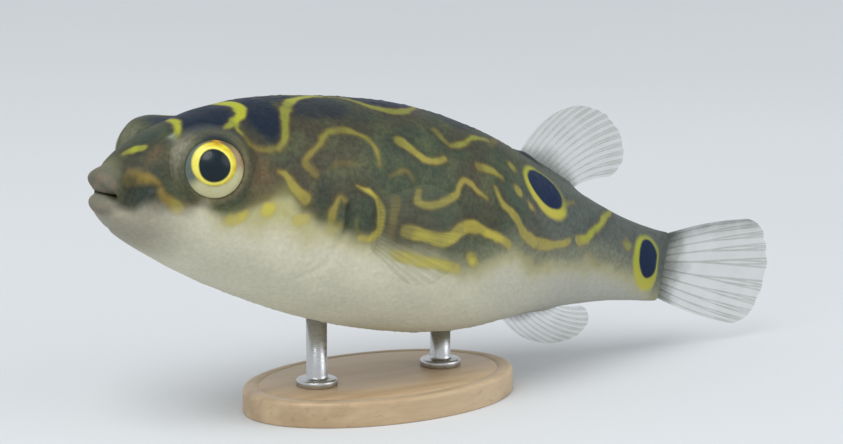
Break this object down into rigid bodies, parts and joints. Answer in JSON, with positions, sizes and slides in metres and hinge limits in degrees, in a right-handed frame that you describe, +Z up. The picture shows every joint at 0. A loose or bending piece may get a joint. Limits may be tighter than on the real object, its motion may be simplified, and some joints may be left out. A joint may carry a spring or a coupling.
{
  "type": "freshwater pufferfish on a display stand",
  "caption": "Still life-size model of a figure-8 pufferfish, swimming nose up, held over a small oval display base by short rods.",
  "frame": {"origin": "centre of the underside of the stand's oval base", "axes": "+Z up; the fish faces -X with its left side towards -Y"},
  "size_m": [0.0723, 0.0246, 0.0276],
  "materials": {
    "skin": "moist skin, dark olive with yellow lines over a white belly",
    "lip": "soft matt skin",
    "eye": "wet and glossy",
    "fin": "clear thin membrane with fine rays",
    "stand_wood": "satin",
    "stand_steel": "brushed"
  },
  "bodies": {
    "root": {"head": "skin", "trunk": "skin", "tail": "skin", "upper_lip": "lip", "lower_lip": "lip", "eye_right": "eye", "eye_left": "eye", "pectoral_fin_right": "fin", "pectoral_fin_left": "fin", "dorsal_fin": "fin", "anal_fin": "fin", "caudal_fin": "fin", "stand_base": "stand_wood", "stand_rod_front": "stand_steel", "stand_rod_rear": "stand_steel"}
  },
  "joints": []
}
